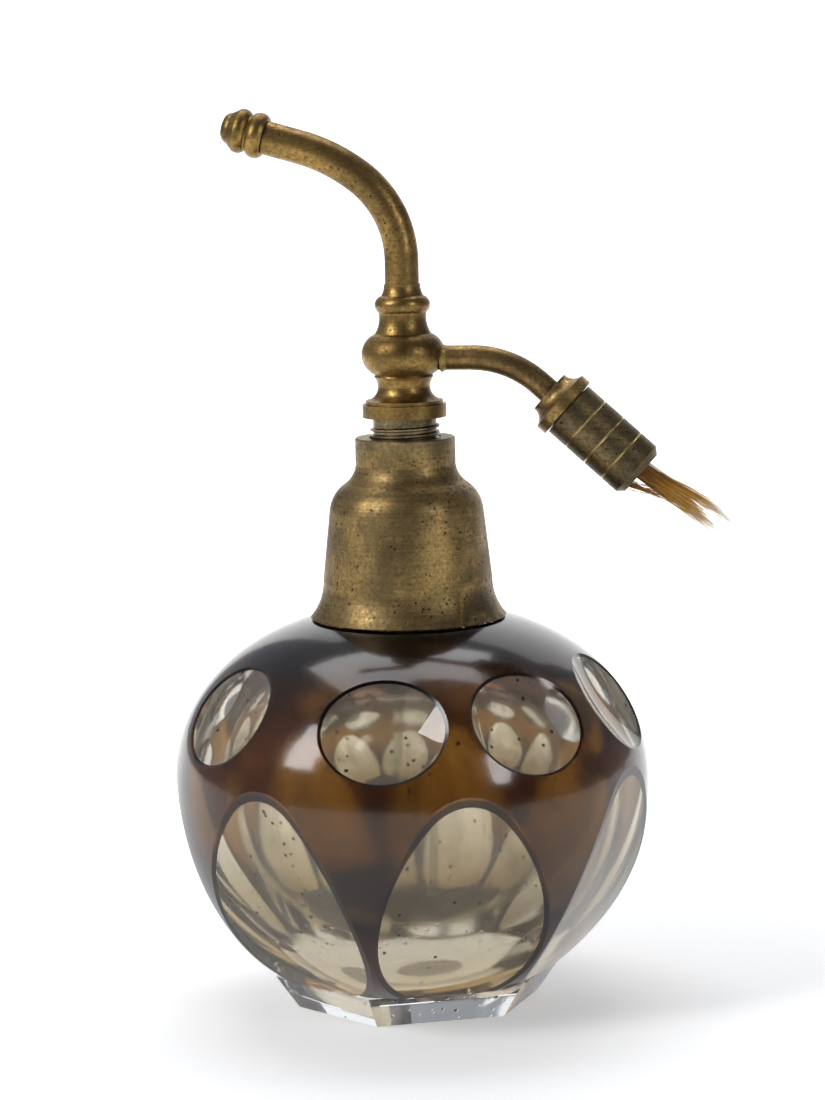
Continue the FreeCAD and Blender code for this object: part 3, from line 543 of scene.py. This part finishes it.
def tuft():
    """Strands in locks that leave the ferrule's mouth side by side and fan out to ragged, curling tips."""
    low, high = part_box("silk_tuft")
    inwards, down = 1.5 * MM, 1.7 * MM
    mouth = Vector((low.x, 0, high.z)) + FERRULE_AXIS * inwards - Vector((0, 0, down))
    side, rise = Vector((0, 1, 0)), FERRULE_AXIS.cross(Vector((0, 1, 0)))
    curve = bpy.data.curves.new("silk_tuft_fibres", "CURVE")
    curve.dimensions = "3D"
    curve.bevel_depth = 0.06 * MM
    curve.bevel_resolution = 1
    points, loose, wavy, shortest, pale_at = 6, 0.26, 0.16, 0.68, 16.5 * MM
    # each lock: start (side, rise), end (side, rise), length, strands, and how far they spread at the tip
    locks = [((0.1, 2.2), (0.2, 4.6), 17.5, 80, 0.26), ((-0.6, 1.8), (-0.7, 3.4), 14.5, 50, 0.34),
             ((0.6, 1.3), (0.5, 2.6), 14.0, 50, 0.36), ((-0.2, 1.0), (0.1, 2.2), 17.0, 80, 0.28),
             ((0.3, 0.4), (0.4, 1.6), 16.0, 50, 0.30), ((-0.9, 0.9), (-1.5, 2.4), 11.0, 20, 0.5),
             ((0.9, 0.5), (1.6, 1.9), 11.0, 20, 0.5), ((-0.3, -1.2), (-0.5, 1.4), 10.5, 16, 0.4),
             ((0.4, -1.8), (0.6, 1.0), 9.5, 12, 0.35), ((0.1, -2.2), (0.0, 0.2), 7.0, 8, 0.3)]
    for (start_side, start_rise), (end_side, end_rise), length, count, spread in locks:
        for _ in range(count):
            start = random.gauss(0, loose), random.gauss(0, loose)
            fan = random.gauss(0, spread), random.gauss(0, spread)
            reach = length * random.uniform(shortest, 1.0)
            wave = random.uniform(-wavy, wavy), random.uniform(-wavy, wavy)
            spline = curve.splines.new("NURBS")
            spline.points.add(points - 1)
            for i in range(points):
                share = i / (points - 1)
                ease = share * share * (3 - 2 * share)
                across = start_side + start[0] + (end_side - start_side + fan[0]) * ease
                across += wave[0] * math.sin(5 * share)
                above = start_rise + start[1] + (end_rise - start_rise + fan[1]) * ease
                above += wave[1] * math.sin(4 * share)
                at = mouth + FERRULE_AXIS * (reach * share * MM) + side * across * MM + rise * above * MM
                spline.points[i].co = (*at, 1)
                spline.points[i].radius = 1.0 - 0.7 * share
            spline.order_u = 4
            spline.use_endpoint_u = True
    piece = bpy.data.objects.new("silk_tuft_fibres", curve)
    link(piece)
    root = mouth.dot(FERRULE_AXIS)
    curve.materials.append(silk(tuple(FERRULE_AXIS), root, root + pale_at))
    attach(piece, "gland")
    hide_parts("silk_tuft")


tuft()

# ---------------------------------------------------------------- floor and light


def paper_sweep():
    """A pale floor that bends up into a wall behind and glows by its own emission, a painted light that is
    brighter towards the back.
    """
    half_width, front, back, bend, top = 0.8, -1.2, 1.6, 0.6, 1.6
    steps = 12
    profile = [(front, 0.0), (back - bend, 0.0)]
    for i in range(1, steps + 1):
        turn = math.radians(90 / steps * i)
        profile.append((back - bend + bend * math.sin(turn), bend - bend * math.cos(turn)))
    profile.append((back, top))
    corners = [(side, along, up) for along, up in profile for side in (-half_width, half_width)]
    faces = [(2 * i, 2 * i + 1, 2 * i + 3, 2 * i + 2) for i in range(len(profile) - 1)]
    mesh = bpy.data.meshes.new("sweep")
    mesh.from_pydata(corners, [], faces)
    smooth(mesh)
    sweep = bpy.data.objects.new("sweep", mesh)
    link(sweep)
    paper = Tree("pale_paper")
    # painted light: the paper's emission, dim in front and strong towards the back
    away = paper.math("MULTIPLY", split_place(paper)[1], 1.6)
    glow = paper.ramp(away, (0.0, 0.30), (0.40, 0.75), (1.0, 0.85))
    paper.set(Base_Color=(0.93, 0.93, 0.93, 1), Roughness=0.9, Emission_Color=(1, 1, 1, 1),
              Emission_Strength=glow)
    mesh.materials.append(paper.material)


def soft_sky():
    """A grey sky that is dimmer in front on the right, so that the glass and brass have a dark side."""
    world = bpy.data.worlds.new("studio")
    bpy.context.scene.world = world
    world.use_nodes = True
    nodes, links = world.node_tree.nodes, world.node_tree.links
    place = nodes.new("ShaderNodeTexCoord")
    dot = nodes.new("ShaderNodeVectorMath")
    dot.operation = "DOT_PRODUCT"
    dot.inputs[1].default_value = (0.50, -0.75, 0.43)
    ramp = nodes.new("ShaderNodeValToRGB")
    light, dim = ramp.color_ramp.elements
    light.position, light.color = 0.0, (0.40, 0.42, 0.46, 1)
    dim.position, dim.color = 0.85, (0.10, 0.11, 0.13, 1)
    links.new(place.outputs["Generated"], dot.inputs[0])
    links.new(dot.outputs["Value"], ramp.inputs[0])
    links.new(ramp.outputs["Color"], nodes["Background"].inputs[0])
    nodes["Background"].inputs[1].default_value = 0.75


def lamps():
    """Three soft lamps that face the middle of the bottle: name, place, width, height and power."""
    middle = Vector((0, 0, 0.07))
    for name, place, width, tall, power in (("key", (-0.70, -0.60, 0.70), 0.30, 0.60, 6.0),
                                            ("fill", (0.75, -0.55, 0.42), 0.14, 0.36, 1.6),
                                            ("top", (-0.1, 0.35, 1.0), 0.8, 0.5, 4.0)):
        data = bpy.data.lights.new(name, "AREA")
        data.shape = "RECTANGLE"
        data.size, data.size_y = width, tall
        data.energy = power
        lamp = bpy.data.objects.new(name, data)
        lamp.location = place
        lamp.rotation_mode = "QUATERNION"
        lamp.rotation_quaternion = (middle - Vector(place)).to_track_quat("-Z", "Y")
        link(lamp)


paper_sweep()
soft_sky()
lamps()
bpy.context.scene.view_settings.view_transform = "Standard"
